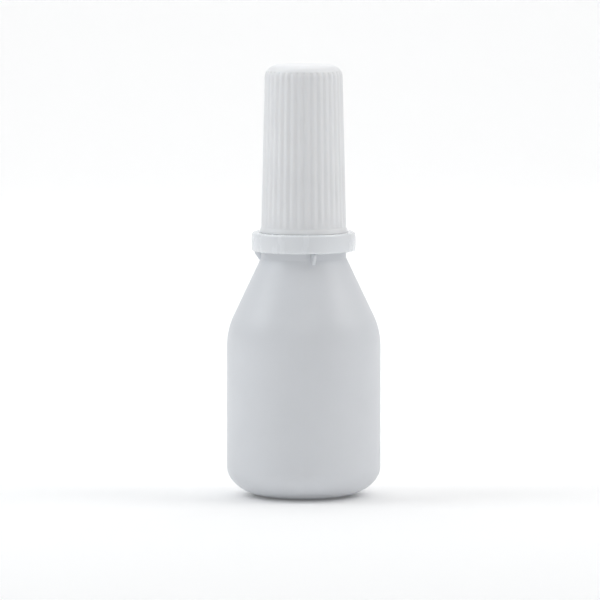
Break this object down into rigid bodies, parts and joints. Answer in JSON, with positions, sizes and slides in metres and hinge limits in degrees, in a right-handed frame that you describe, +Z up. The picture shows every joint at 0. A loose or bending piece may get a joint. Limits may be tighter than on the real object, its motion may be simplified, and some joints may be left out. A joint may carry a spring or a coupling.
{
  "type": "dropper bottle",
  "caption": "White plastic squeeze bottle with a long conical shoulder, a loose tamper ring and a tall ribbed screw cap over a press-in dropper tip.",
  "frame": {"origin": "middle of the flat foot that the bottle stands on", "axes": "+Z up along the bottle's axis, -Y towards the side that carries the front lug, +X to the right of it"},
  "size_m": [0.03, 0.03, 0.0843],
  "materials": {
    "bottle": "satin white polyethylene, slightly soft to the touch",
    "tip": "milky white soft polyethylene",
    "ring": "smooth semi-gloss white",
    "cap": "semi-gloss white with fine upright ribs",
    "seal": "matt soft white"
  },
  "bodies": {
    "bottle": {"bottle_body": "bottle", "dropper_tip": "tip"},
    "ring": {"tamper_ring": "ring"},
    "seal": {"tip_seal": "seal"},
    "cap": {"screw_cap": "cap"}
  },
  "joints": [
    {"name": "cap_rise", "type": "slide", "parent": "bottle", "child": "seal", "axis": [0, 0, 1], "range_m": [0, 0.036]},
    {"name": "cap_turn", "type": "hinge", "parent": "seal", "child": "cap", "pos_m": [0, 0, 0.05195], "axis": [0, 0, 1], "range_deg": [0, 2160]},
    {"name": "ring_turn", "type": "hinge", "parent": "bottle", "child": "ring", "pos_m": [0, 0, 0.048], "axis": [0, 0, 1], "range_deg": [-360, 0]}
  ],
  "couplings": [
    {"joint": "cap_rise", "follows": "cap_turn", "m_per_rad": 0.00095493}
  ]
}
